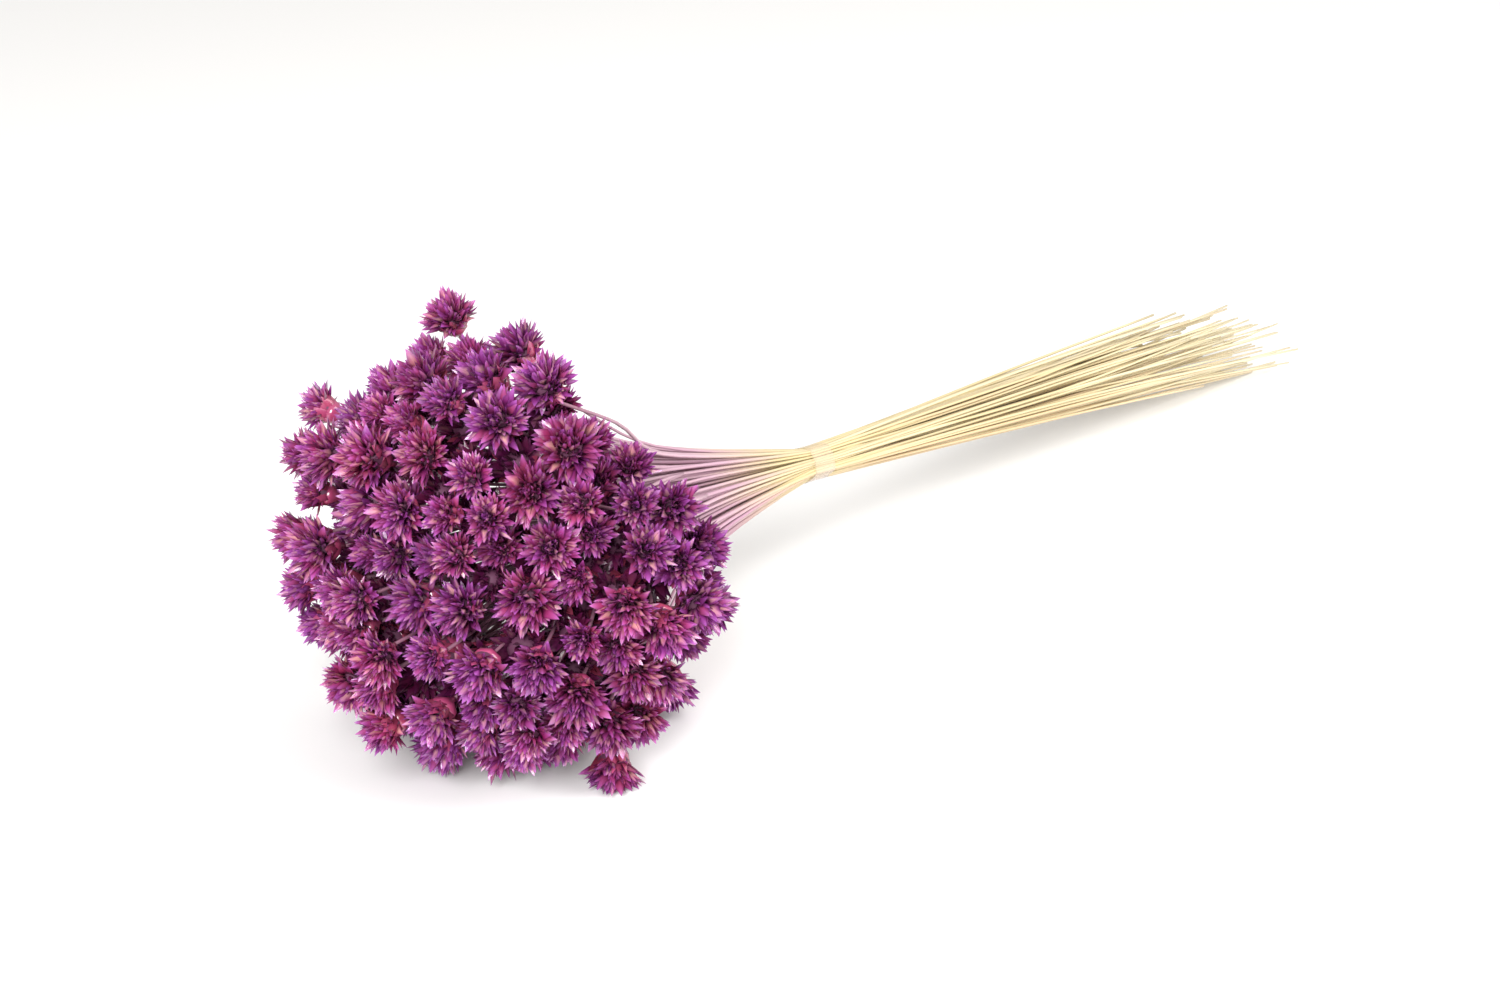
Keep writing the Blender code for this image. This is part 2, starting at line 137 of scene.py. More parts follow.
GOLDEN_ANGLE = math.pi * (3 - math.sqrt(5))
HEADWARD = np.array((-BAND_TO_BALL, 0.0, BALL_HEIGHT - BAND_HEIGHT))
BALL_CENTRE = HEADWARD + (0.0, BALL_ASIDE, 0.0)
HEADWARD /= np.linalg.norm(HEADWARD)
SIDEWARD = np.array((0.0, 1.0, 0.0))
UPWARD = np.cross(SIDEWARD, HEADWARD)
BALL_AXES = np.array((HEADWARD, SIDEWARD, UPWARD))
SPRAY_OF = np.repeat(np.arange(SPRAYS), SPRAY_SIZES)
FIRST_OF = np.cumsum([0] + SPRAY_SIZES)
IS_MIDDLE = np.isin(np.arange(FLOWERS), FIRST_OF)
SAME_SPRAY = SPRAY_OF[:, None] == SPRAY_OF[None, :]
LINKED = SAME_SPRAY & (IS_MIDDLE[:, None] != IS_MIDDLE[None, :])
DYES = ("dyed_magenta", "dyed_violet", "dyed_rose")

# The photograph's width and focal length in pixels, and the sensor in millimetres
PHOTO_WIDTH = 1500
PHOTO_FOCAL_PIXELS = 2980
SENSOR_WIDTH = 36.0

# Late heads: spots tried, radius as a share of the gap, and how a branch bends
LATE_SPOTS = 1500
LATE_RADIUS = 0.6
BRANCH_LEAVE = 0.4
BRANCH_LEAD = 0.006
BRANCH_STEPS = 6

# One scale, 1 long: how its rows crowd to the tip, its outline and its thickness
ROW_CROWDING = 0.7
FOOT_WIDTH = 0.45
BELLY_WIDTH = 0.75
BELLY_PLACE = 0.9
POINT_PLACE = 1.12
POINT_BLUNTNESS = 0.6
SCALE_THICKNESS = 0.14

# Inner scales: share of the set width, depth of the fold, curl of the tip
INNER_SCALES = ((1.0, 0.55, 0.10), (0.75, 0.60, 0.16), (1.3, 0.45, -0.05), (0.9, 0.60, 0.04))
OUTER_FOLD = 0.45
OUTER_CURL = 0.16

# A head with a radius of 1: heights are over its seat, angles from its axis, and two values a range
CUP_PROFILE = (
    (0.0, -0.02), (0.07, -0.02), (0.13, 0.12), (0.28, 0.29), (0.46, 0.50), (0.50, 0.74), (0.0, 0.90),
)
CUP_STEPS = 8
CORE_HEIGHT = 0.84
OUTER_FOOT_HEIGHT = (0.34, 0.54)
OUTER_FOOT_RADIUS = (0.24, 0.30)
OUTER_FOOT_ANGLE = math.radians(100)
OUTER_TURN = (-0.2, 0.2)
OUTER_OPENING = (-4, 16)  # degrees
OUTER_DROP = 22  # degrees
OUTER_REACH = (0.82, 1.02)
OUTER_ROLL = (-0.3, 0.3)
TUFT_OPENING = (0.94, 1.04)
TUFT_TURN = (-0.15, 0.15)
TUFT_REACH = (0.84, 1.0)
MIDDLE_REACH = (0.86, 1.0)
MIDDLE_CLOSING = (0.35, 1.0)
INNER_SPREAD = (0.12, 0.40)
INNER_FOOT_HEIGHT = 0.76
INNER_FOOT_RADIUS = 0.42
INNER_FOOT_CLOSING = 0.9
INNER_REACH = (0.68, 1.0)
INNER_LEAN = (-0.24, 0.24)
INNER_ROLL = (-0.9, 0.9)
TIP_HEIGHT = 0.98
NARROWEST = 0.3

# The "scale" attribute holds how far along its scale a point is, the scale's own draw, its kind, and
# which side the point is on. The cup and the core are each the same all over.
INNER_KIND, OUTER_KIND, CORE_KIND = 0.0, 0.5, 1.0
CUP_SHADE = (0.62, 0.5, OUTER_KIND, 0.5)
CORE_SHADE = (0.0, 0.0, CORE_KIND, 0.5)

# The higher, the fewer heads are dark
DARK_RARITY = 1.5

# A stem strays by so many sways: it bows and splays behind the tie, and waves before it
TAIL_BOW = 1.5
TAIL_SPLAY = 3.0
CROWN_WAVE = 0.8

# Shares of its last bend's two neighbours in the place that the bend is evened to, the stretch before
# the tie where it widens, its points in a ring, and what makes its attribute 0 to 2 along the bunch
EVENED_TO = (0.45, 0.55)
SWELL_LENGTH = 0.4 * BAND_TO_BALL
STEM_RING = 6
ALONG_SCALE = 4.0

# Where the stems change colour, in metres from the tie to their cut ends
# The stems turn paler towards their cut ends as painted light over the shade among them
END_LIGHT_REACH = (0.12, 0.24)
DYE_REACH = (-0.002, -0.038)
# Close to the heads the stems darken: partly dye, partly painted shade inside the ball of heads
STAIN_AND_SHADE_REACH = (-0.062, -0.105)

# The tape: points round it and across it, its ripples round and across, how it is pulled tight, and
# the heights from its middle between which it turns milky, as a painted highlight
BAND_STEPS = 96
BAND_ROWS = 5
RIPPLES = (4, 300)
TIGHT_STEPS = 180
TIGHT_SLANT = 0.3
LOWER_HIGHLIGHT_REACH = (0.001, -0.005)


def between(ends, share):
    """The value that lies that share of the way from one end to the other, and no further."""
    return ends[0] + (ends[1] - ends[0]) * min(share, 1.0)


def lean_over(turn):
    """Turn in the band to turn on the ball: the wider side of the ball takes more of the sprays."""
    return turn + BALL_LEAN * np.sin(turn)


def lean_back(turn):
    """Turn on the ball to turn in the band."""
    return turn - BALL_LEAN * np.sin(turn - BALL_LEAN * np.sin(turn))


def edge_of_ball(around):
    """Cosine of the angle the heads reach to, further on the -Y side and below than opposite."""
    turn = np.arctan2(around[..., 1], around[..., 0])
    return np.cos(BALL_OPENING + OPENING_TILT[0] * np.cos(turn) + OPENING_TILT[1] * np.sin(turn))


def spray_mean(values):
    """For every flower, the mean over its spray."""
    return np.array([values[SPRAY_OF == spray].mean(axis=0) for spray in range(SPRAYS)])[SPRAY_OF]


def spread_apart(place, wanted, hold):
    """Move points until linked ones are the wanted distance apart and the others at least that."""
    np.fill_diagonal(wanted, 0.0)
    for turn in range(RELAX_ROUNDS):
        gap = place[:, None] - place[None, :]
        apart = np.linalg.norm(gap, axis=2) + np.eye(len(place))
        short = wanted - apart
        short = np.where(LINKED, short, np.maximum(short, 0.0))
        np.fill_diagonal(short, 0.0)
        place = place + RELAX_RATE * ((short / apart)[..., None] * gap).sum(axis=1)
        place = hold(place, turn / RELAX_ROUNDS)
    return place


def heads_on_ball(rng):
    """Centre and radius of every head: sprays in a sunflower spiral over a ball with an open back."""
    radius = rng.uniform(*HEAD_RADIUS, FLOWERS)
    depth = rng.uniform(*BALL_DEPTH, SPRAYS)[SPRAY_OF]
    depth += rng.uniform(-HEAD_DEPTH_JITTER, HEAD_DEPTH_JITTER, FLOWERS)
    start = np.zeros((FLOWERS, 3))
    for spray in range(SPRAYS):
        turn = lean_over(spray * GOLDEN_ANGLE)
        edge = edge_of_ball(np.array((math.cos(turn), math.sin(turn))))
        ahead = 1 - (spray + 0.5) / SPRAYS * (1 - edge)
        aside = math.sqrt(1 - ahead * ahead)
        out = np.array((0.0, math.cos(turn), math.sin(turn)))
        across = np.array((0.0, -math.sin(turn), math.cos(turn)))
        middle = np.array((ahead, 0.0, 0.0)) + aside * out
        slope = np.array((-aside, 0.0, 0.0)) + ahead * out
        roll = rng.uniform(0, 2 * math.pi)
        for member in range(SPRAY_SIZES[spray]):
            angle = roll + member * 2 * math.pi / (SPRAY_SIZES[spray] - 1)
            step = START_STEP * radius.mean() * (member > 0)
            offset = step * (math.cos(angle) * slope + math.sin(angle) * across)
            start[FIRST_OF[spray] + member] = middle * BALL_RADII + offset
    start = start @ BALL_AXES + BALL_CENTRE

    strays = []
    targets = BALL_CENTRE + STRAYS
    for target in targets:
        taken = IS_MIDDLE | np.isin(SPRAY_OF, SPRAY_OF[strays])
        far = np.linalg.norm(start - target, axis=1) + STRAY_APART * taken
        strays.append(int(far.argmin()))

    def hold(place, progress):
        """Pull the heads to the ball, in front of its edge and onto the floor, and the strays to theirs."""
        ball = (place - BALL_CENTRE) @ BALL_AXES.T / BALL_RADII
        far = np.linalg.norm(ball, axis=1)
        slack = DEPTH_SLACK[progress > SLACKEN_AT]
        level = np.clip(far, depth - slack, depth + slack)
        spray_level = spray_mean(level)
        level = np.clip(level, spray_level - SPRAY_DEPTH, spray_level + SPRAY_DEPTH)
        level[strays] = far[strays]
        ball *= (1 + BALL_PULL * (level / far - 1))[:, None]
        far = np.linalg.norm(ball, axis=1)
        limit = edge_of_ball(ball[:, 1:]) - EDGE_SLACK
        behind = ball[:, 0] < limit * far
        sideways = np.linalg.norm(ball[:, 1:], axis=1)
        ball[behind, 1:] *= (np.sqrt(1 - limit**2) * far / sideways)[behind, None]
        ball[behind, 0] = (limit * far)[behind]
        place = (ball * BALL_RADII) @ BALL_AXES + BALL_CENTRE
        place[strays] += STRAY_PULL * (targets - place[strays])
        place[:, 2] = np.maximum(place[:, 2], FLOOR + radius - FLOOR_PRESS)
        return place

    reach = radius[:, None] + radius[None, :]
    wanted = np.where(SAME_SPRAY, SAME_SPRAY_SPACING * reach, reach + HEAD_CLEARANCE)
    wanted = np.where(LINKED, CROWDING * reach, wanted)
    return spread_apart(start, wanted, hold), radius


def push_out(points, centre, radius, clearance):
    """How far every point must move to be clear of the other flowers' heads. Row i belongs to flower i."""
    gap = points[:, :, None] - centre[None, None, :]
    apart = np.linalg.norm(gap, axis=3)
    short = np.maximum(radius + clearance - apart, 0.0)
    short[np.arange(FLOWERS), :, np.arange(FLOWERS)] = 0.0
    return ((short / apart)[..., None] * gap).sum(axis=2)


def head_directions(centre, radius, rng):
    """Heads look away from a point behind the ball's middle, each a little off, with their seats free."""
    aim = centre - (BALL_CENTRE - HEAD_AIM * HEADWARD)
    aim /= np.linalg.norm(aim, axis=1)[:, None]
    aim += rng.normal(0.0, math.tan(HEAD_TILT), (FLOWERS, 3))
    for _ in range(CLEARING_ROUNDS):
        aim /= np.linalg.norm(aim, axis=1)[:, None]
        seat = centre - radius[:, None] * aim
        aim -= push_out(seat[:, None], centre, radius, SEAT_CLEARANCE)[:, 0] / radius[:, None]
    return aim / np.linalg.norm(aim, axis=1)[:, None]


def push_apart(path):
    """How far the knots of every stem must move for its runs to be clear of those of other sprays."""
    move = np.zeros_like(path)
    run = np.diff(path, axis=1)
    runs = range(run.shape[1])
    for k, m in [(k, m) for k in runs for m in runs if abs(k - m) < 2]:
        one, other = run[:, None, k], run[None, :, m]
        gap = path[:, None, k] - path[None, :, m]
        one_sq, other_sq = (one * one).sum(axis=2), (other * other).sum(axis=2)
        both = (one * other).sum(axis=2)
        near, far = (one * gap).sum(axis=2), (other * gap).sum(axis=2)
        spread = one_sq * other_sq - both * both + np.eye(FLOWERS)
        along = np.clip((both * far - other_sq * near) / spread, 0, 1)
        there = np.clip((both * along + far) / other_sq, 0, 1)
        along = np.clip((both * there - near) / one_sq, 0, 1)
        gap = gap + along[..., None] * one - there[..., None] * other
        apart = np.linalg.norm(gap, axis=2) + SAME_SPRAY
        push = (np.maximum(STEM_SPACING - apart, 0.0) / apart)[..., None] * gap
        move[:, k] += ((1 - along)[..., None] * push).sum(axis=1)
        move[:, k + 1] += (along[..., None] * push).sum(axis=1)
    return move


def bend_clear(path, centre, radius):
    """Bend the crown of every stem out of the other flowers' heads and stems."""
    for _ in range(CLEARING_ROUNDS):
        for share in np.linspace(0.0, 1.0, STEM_CHECKS, endpoint=False):
            spots = path[:, :-1] * (1 - share) + path[:, 1:] * share
            move = push_out(spots, centre, radius, STEM_RADIUS + 2 * HEAD_CLEARANCE)
            path[:, 1:-1] += STEM_PUSH * ((1 - share) * move[:, 1:] + share * move[:, :-1])
        path[:, 1:-1] += push_apart(path)[:, 1:-1]
    return path


def stems_in_band(centre):
    """Where every stem crosses the band, sideways and up: as the heads lie, packed tight."""
    ball = (centre - BALL_CENTRE) @ BALL_AXES.T
    far = np.linalg.norm(ball, axis=1)
    share = np.sqrt((1 - ball[:, 0] / far) / (1 - edge_of_ball(ball[:, 1:])))
    turn = lean_back(np.arctan2(ball[:, 2], ball[:, 1]))
    start = np.column_stack((share * np.cos(turn), share * np.sin(turn)))
    start *= math.sqrt(FLOWERS) * STEM_SPACING / 2
    middle = spray_mean(start)
    start = middle + (start - middle) * SPRAY_SQUEEZE

    def hold(place, progress):
        """Press the stems together, less and less."""
        return place * (1 - BAND_SQUEEZE * (1 - progress))

    wanted = np.where(SAME_SPRAY, OUTER_STEM_SPACING, STEM_SPACING)
    wanted[LINKED] = STEM_PITCH
    return spread_apart(start, wanted, hold)


def bezier(points, steps):
    """Points along a cubic Bezier."""
    a, b, c, d = (np.asarray(p)[None, :] for p in points)
    t = np.linspace(0.0, 1.0, steps + 1)[:, None]
    return a * (1 - t) ** 3 + 3 * b * t * (1 - t) ** 2 + 3 * c * t * t * (1 - t) + d * t**3


def cut_ends(band, length):
    """Where the stems end: a fan behind the band, shorter above, with its lowest stem on the floor."""
    height = band[:, 1] / np.abs(band[:, 1]).max()
    length = length * (1 - CUT_SLANT * np.maximum(height, 0.0))
    share = length / TAIL_LENGTH[1]
    wide, tall = (1 + (spread - 1) * share for spread in TAIL_SPREAD)
    foot = ((FLOOR + STEM_RADIUS - band[:, 1] * tall) / share).max()
    return np.column_stack((length, band[:, 0] * wide, band[:, 1] * tall + foot * share))


def crown_path(band, widest, front, seat):
    """From the band to the seat of a head: an even fan, which bends to its own seat near the end."""
    share = math.hypot(*band) / widest
    turn = lean_over(math.atan2(band[1], band[0]))
    around = np.array((math.cos(turn), math.sin(turn)))
    ahead = 1 - share * share * (1 - edge_of_ball(around))
    aside = math.sqrt(1 - ahead * ahead)
    out = np.array((ahead, *(aside * around)))
    middle = BALL_CENTRE + (out * BALL_RADII * CROWN_SHARE) @ BALL_AXES
    aim = middle - (BALL_CENTRE - HEAD_AIM * HEADWARD)
    aim /= np.linalg.norm(aim)
    leave = HEADWARD + CROWN_FAN * (band[0] * SIDEWARD + band[1] * UPWARD)
    leave /= np.linalg.norm(leave)
    reach = np.linalg.norm(middle - front)
    knots = (front, front + CROWN_EASE[0] * reach * leave, middle - CROWN_EASE[1] * reach * aim, middle)
    path = bezier(knots, STEM_STEPS)
    bend = np.linspace(0.0, 1.0, STEM_STEPS + 1)[:, None] ** CROWN_BEND
    return path + bend * (seat - path[-1])


def stem_path(end, band, seat, widest):
    """From the cut end, straight through the band, and out to the seat of the head."""
    crossing = band[0] * SIDEWARD + band[1] * UPWARD
    straight = HEADWARD * STRAIGHT_REACH
    crown = crown_path(band, widest, crossing + straight, seat)
    return np.concatenate(([end, crossing - straight], crown))


def flowers():
    """Everything that places the flowers: head centres, radii, directions, and stem paths."""
    rng = np.random.default_rng(SEED)
    centre, radius = heads_on_ball(rng)
    aim = head_directions(centre, radius, rng)
    band = stems_in_band(centre)
    end = cut_ends(band, rng.uniform(*TAIL_LENGTH, FLOWERS))
    seat = centre - (radius[:, None] + SEAT_GAP) * aim
    widest = np.linalg.norm(band, axis=1).max()
    path = np.array([stem_path(end[i], band[i], seat[i], widest) for i in range(FLOWERS)])
    path[:, 2:] = bend_clear(path[:, 2:], centre, radius)
    return centre, radius, aim, band, path


def late_heads(centre, path, count, depth):
    """Small heads in the widest gaps lower down: centre, radius, aim, nearest flower and its branch."""
    spots = np.arange(LATE_SPOTS)
    turn = GOLDEN_ANGLE * spots
    ahead = 1 - (spots + 0.5) / LATE_SPOTS * 2
    aside = np.sqrt(1 - ahead * ahead)
    out = np.column_stack((ahead, aside * np.cos(turn), aside * np.sin(turn)))
    out = out[ahead > edge_of_ball(out[:, 1:])]
    found = []
    others = centre.copy()
    for done in np.linspace(0.0, 1.0, count):
        place = (out * BALL_RADII * between(depth, done**2)) @ BALL_AXES + BALL_CENTRE
        place = place[place[:, 2] > FLOOR + HEAD_RADIUS[0]]
        gap = np.linalg.norm(place[:, None] - others[None, :], axis=2).min(axis=1)
        best = place[int(gap.argmax())]
        aim = best - (BALL_CENTRE - HEAD_AIM * HEADWARD)
        aim /= np.linalg.norm(aim)
        radius = min(max(LATE_RADIUS * gap.max(), HEAD_RADIUS[0]), HEAD_RADIUS[1])
        near = int(np.linalg.norm(path[:, -1] - best, axis=1).argmin())
        fork = path[near, -3]
        seat = best - radius * aim
        leave = fork + BRANCH_LEAVE * (path[near, -2] - fork)
        branch = bezier((fork, leave, seat - BRANCH_LEAD * aim, seat), BRANCH_STEPS)
        found.append((best, radius, aim, near, branch))
        others = np.concatenate((others, best[None, :]))
    return found


HEAD_CENTRE, HEAD_SIZE, HEAD_FACING, STEM_CROSSING, STEM_PATH = flowers()


def paint(name, description, default):
    """A setting that is a colour."""
    return FloatVectorProperty(name=name, description=description, subtype="COLOR", default=default)


def span(name, description, default):
    """A setting that is a length, shown to a hundredth of a millimetre."""
    return FloatProperty(name=name, description=description, default=default, unit="LENGTH", precision=5)


def number(name, description, default):
    """A setting that is a plain number, and whole if its default is."""
    kind = IntProperty if isinstance(default, int) else FloatProperty
    return kind(name=name, description=description, default=default)


class HeadSettings(bpy.types.PropertyGroup):
    """Sizes and colours of the flower heads. Lengths are shares of the head's radius."""

    variants: number("Variants", "How many different heads there are", 8)
    opening: FloatVectorProperty(
        name="Opening", description="How far the least and the most open heads spread", size=2,
        default=(math.radians(62), math.radians(104)), subtype="EULER",
    )
    tufts: number("Tufts", "Tufts of scales on a head", 27)
    late_tufts: number("Late tufts", "Tufts on a late head", 11)
    tuft_scales: number("Scales in a tuft", "Scales in each tuft", 7)
    outer_scales: number("Outer scales", "Broad scales round the seat", 16)
    width: number("Scale width", "Width of an inner scale", 0.40)
    outer_width: number("Outer width", "Width of an outer scale", 0.46)
    reach: number("Reach", "How far the tips stand out", 1.27)
    # The core is a dark ball in the middle of a head, standing for the shade deep between its scales
    core: number("Core", "Radius of the dark middle", 0.48)
    seed: number("Seed", "Which draw of scales is used", 5)
    late: number("Late heads", "Small heads in the gaps lower down", 124)
    late_depth: FloatVectorProperty(
        name="Late depth", description="How far out the first and the last of the late heads stand", size=2,
        default=(0.86, 0.62),
    )
    # Whole heads darkened: late heads deep in the ball as painted shade, the others at random and, as painted
    # shade, the more they face away from the front
    late_shade: number("Late tone", "How dark the late heads are", 1.8)
    tone: number("Tone", "How dark the darkest of the other heads are", 1.2)
    front_light: number("Front tone", "How much lighter the front heads are", 0.8)
    magenta: paint("Magenta", "First dye colour", (0.315, 0.018, 0.116))
    violet: paint("Violet", "Second dye colour", (0.222, 0.019, 0.170))
    rose: paint("Rose", "Third dye colour", (0.365, 0.022, 0.082))
    tip: paint("Tip", "Colour of the thin tips", (0.55, 0.17, 0.66))
    # Bare: some scales took less dye, but the colour is laid only along their ridges, partly as a painted
    # highlight
    bare: paint("Bare", "Scales that took little dye", (0.92, 0.50, 0.42))
    cup: paint("Cup", "Outer scales and seat", (0.40, 0.055, 0.110))
    # Deep: the colour of the painted shade on rims and on shaded heads, and of heads darker at random
    deep: paint("Deep", "Tone of the darker heads", (0.065, 0.003, 0.028))
    # Heart: painted shade at the feet of the scales and on the core
    heart_shade: paint("Heart", "The dark middle of a head", (0.090, 0.008, 0.050))


class StemSettings(bpy.types.PropertyGroup):
    """Sizes and colours of the stems."""

    radius: span("Radius", "Radius of a stem", 0.00046)
    spread: number("Spread", "How much the radii differ", 0.14)
    swell: number("Swell", "How much wider they get to the heads", 0.12)
    sway: span("Sway", "How far a stem strays from its line", 0.0009)
    taper: number("Taper", "How much thinner their cut ends are", 0.3)
    ease: number("Ease", "How far the bends below the heads are evened", 0.4)
    steps: number("Steps", "Pieces in every run of a stem", 5)
    straw: paint("Straw", "Colour of the bare stems", (0.60, 0.50, 0.30))
    # Pale: painted light on the thin cut ends
    pale: paint("Pale", "Colour of the thin cut ends", (0.84, 0.76, 0.55))
    mauve: paint("Mauve", "Where the dye ran down", (0.46, 0.25, 0.35))
    blush: paint("Blush", "Where less dye ran down", (0.61, 0.43, 0.48))
    # Stained: partly dye, partly painted shade where the stems run into the ball of heads
    stain_and_shade: paint("Stained", "Close to the heads", (0.20, 0.06, 0.11))


class BandSettings(bpy.types.PropertyGroup):
    """Sizes and colours of the tie."""

    gap: span("Gap", "From the stems to the tape", 0.00010)
    wall: span("Wall", "Thickness of the wound tape", 0.00012)
    tape: paint("Tape", "Colour of the tape", (0.84, 0.68, 0.50))
    # Underside: colour of the painted highlight on the lower part of the tape
    lower_highlight_colour: paint("Underside", "Its milky lower part", (0.84, 0.77, 0.73))


class StageSettings(bpy.types.PropertyGroup):
    """The surface, the lights and the camera."""

    distance: span("Distance", "Camera to the point it looks at", 0.982)
    elevation: FloatProperty(
        name="Elevation", description="Camera over the horizon", default=math.radians(25), subtype="ANGLE"
    )
    turn: FloatProperty(
        name="Turn", description="Which way the camera looks, from +Y to +X", default=math.radians(47.35),
        subtype="ANGLE",
    )
    target: FloatVectorProperty(
        name="Target", description="Point on the floor, from under the tie", size=2, default=(0.0346, 0.0576),
        unit="LENGTH",
    )
    surface: paint("Surface", "Colour of the surface", (0.90, 0.90, 0.895))
    floor: span("Floor", "Side of the floor", 9.0)
    sky: number("Sky", "Strength of the light all round", 0.67)
    tint: paint("Tint", "Colour of the light all round", (1.0, 0.975, 0.95))
    key: FloatProperty(name="Key", description="Power of the lamp by the camera", default=21.0, unit="POWER")
    key_size: span("Key size", "Side of that lamp", 0.6)
    key_place: FloatVectorProperty(
        name="Key place", description="From the target: sideways, ahead and up",
        default=(-0.25, -1.20, 0.74), subtype="TRANSLATION",
    )
    fill: FloatProperty(name="Fill", description="Power of the broad side lamp", default=18.0, unit="POWER")
    fill_size: span("Fill size", "Side of that lamp", 1.0)
    fill_place: FloatVectorProperty(
        name="Fill place", description="From the target: sideways, ahead and up",
        default=(1.0, -0.55, 0.95), subtype="TRANSLATION",
    )


def feed(tree, value, socket):
    """Set or link one socket."""
    if isinstance(value, Field):
        tree.links.new(value.socket, socket)
    elif socket.type == "RGBA":
        socket.default_value = (*value, 1.0)
    else:
        socket.default_value = value


class Field:
    """A number or colour that varies over a surface. Arithmetic on numbers adds Math nodes."""

    def __init__(self, tree, socket):
        self.tree, self.socket = tree, socket

    def maths(self, operation, first, second=0.0):
        """A Math node of one or two numbers."""
        node = self.tree.nodes.new("ShaderNodeMath")
        node.operation = operation
        for socket, value in zip(node.inputs, (first, second)):
            feed(self.tree, value, socket)
        return Field(self.tree, node.outputs[0])

    def __add__(self, other):
        return self.maths("ADD", self, other)

    def __sub__(self, other):
        return self.maths("SUBTRACT", self, other)

    def __rsub__(self, other):
        return self.maths("SUBTRACT", other, self)

    def __mul__(self, other):
        return self.maths("MULTIPLY", self, other)

    __radd__ = __add__
    __rmul__ = __mul__


class Finish:
    """A material: one Principled shader, and a method that adds any other node."""

    def __init__(self, name, **constants):
        self.material = bpy.data.materials.new(name)
        self.material.use_nodes = True
        self.tree = self.material.node_tree
        self.shader = self.tree.nodes["Principled BSDF"]
        for socket, value in constants.items():
            self.shader.inputs[socket.replace("_", " ")].default_value = value

    def add(self, kind, output=0, settings=None, **sockets):
        """A node of that kind: its settings are made first, then its sockets, where n6 is number 6."""
        node = self.tree.nodes.new("ShaderNode" + kind)
        for name, value in (settings or {}).items():
            if name == "stops":
                for k, (position, colour) in enumerate(value):
                    stop = node.color_ramp.elements[k] if k < 2 else node.color_ramp.elements.new(position)
                    stop.position, stop.color = position, (*colour, 1.0)
            else:
                setattr(node, name, value)
        for name, value in sockets.items():
            numbered = name[0] == "n" and name[1:].isdigit()
            feed(self.tree, value, node.inputs[int(name[1:]) if numbered else name])
        return Field(self.tree, node.outputs[output])

    def mix(self, share, first, second):
        """One colour blended into another."""
        settings = {"data_type": "RGBA"}
        return self.add("Mix", output=2, settings=settings, n0=share, n6=first, n7=second)

    def parts(self, colour):
        """The three numbers that a colour holds."""
        return [self.add("SeparateColor", output=k, Color=colour) for k in range(3)]

    def ramp(self, field, low, high):
        """0 where the number is at or under low, 1 at or over high, and even between."""
        return self.add("MapRange", n0=field, n1=low, n2=high, n3=0.0, n4=1.0)

    def dress(self, **sockets):
        """Feed what changes over the surface into the shader."""
        for name, value in sockets.items():
            feed(self.tree, value, self.shader.inputs[name.replace("_", " ")])
        return self.material


def blade(width, fold, curl):
    """One pointed scale, 1 long along +Z: a folded blade with closed sides, hollow towards +Y."""
    bm = bmesh.new()
    bmesh.ops.create_cone(bm, cap_ends=True, segments=4, radius1=1.0, radius2=1.0, depth=1.0)
    bmesh.ops.translate(bm, verts=bm.verts[:], vec=(0.0, 0.0, 0.5))
    uprights = [edge for edge in bm.edges if abs(edge.verts[0].co.z - edge.verts[1].co.z) > 0.5]
    bmesh.ops.subdivide_edges(bm, edges=uprights, cuts=2)
    shade = bm.verts.layers.float_color.new("scale")
    for vert in bm.verts:
        along = vert.co.z**ROW_CROWDING
        side, face = round(vert.co.x), round(vert.co.y)
        belly = FOOT_WIDTH + BELLY_WIDTH * math.sin(math.pi * along**BELLY_PLACE)
        half = width / 2 * belly * (POINT_PLACE - along) ** POINT_BLUNTNESS
        bulge = SCALE_THICKNESS * half * face
        vert[shade] = (along, 0.0, 0.0, 0.5 + 0.5 * side)
        vert.co = (half * side, fold * half * abs(side) + bulge + curl * along * along, along)
    # The edges along both sides stay sharp
    for edge in bm.edges:
        edge.smooth = not all(abs(vert[shade][3] - 0.5) > 0.4 for vert in edge.verts)
    tip = [vert for vert in bm.verts if vert[shade][0] > 0.99]
    bmesh.ops.pointmerge(bm, verts=tip, merge_co=sum((vert.co for vert in tip), Vector()) / len(tip))
    turn_outwards(bm)
    return as_mesh(bm, "scale")


def turn_outwards(bm):
    """Make every face of a bmesh point outwards."""
    bmesh.ops.recalc_face_normals(bm, faces=bm.faces[:])


def as_mesh(bm, name):
    """A mesh made from a bmesh, which is freed."""
    mesh = bpy.data.meshes.new(name)
    bm.to_mesh(mesh)
    bm.free()
    return mesh


def add_mesh(bm, mesh, matrix=Matrix.Identity(4)):
    """Add a copy of a mesh, moved by a matrix, and return its vertices."""
    count = len(bm.verts)
    bm.from_mesh(mesh)
    bm.verts.ensure_lookup_table()
    added = bm.verts[count:]
    bmesh.ops.transform(bm, matrix=matrix, verts=added)
    return added


def standing(foot, tip, axis, roll):
    """The matrix that stands a scale on its foot, reaching to its tip, hollow towards the axis."""
    run = tip - foot
    up = run.normalized()
    inward = axis - axis.dot(up) * up
    if inward.length < 1e-3:
        inward = up.orthogonal()
    inward.normalize()
    side = inward.cross(up)
    turn = Matrix((side, inward, up)).transposed().to_4x4()
    return Matrix.Translation(foot) @ turn @ Matrix.Rotation(roll, 4, "Z") @ Matrix.Scale(run.length, 4)


def on_ball(height, radius, polar, turn):
    """A point on a ball round the axis of a head."""
    aside = radius * math.sin(polar)
    return Vector((aside * math.cos(turn), aside * math.sin(turn), height + radius * math.cos(polar)))


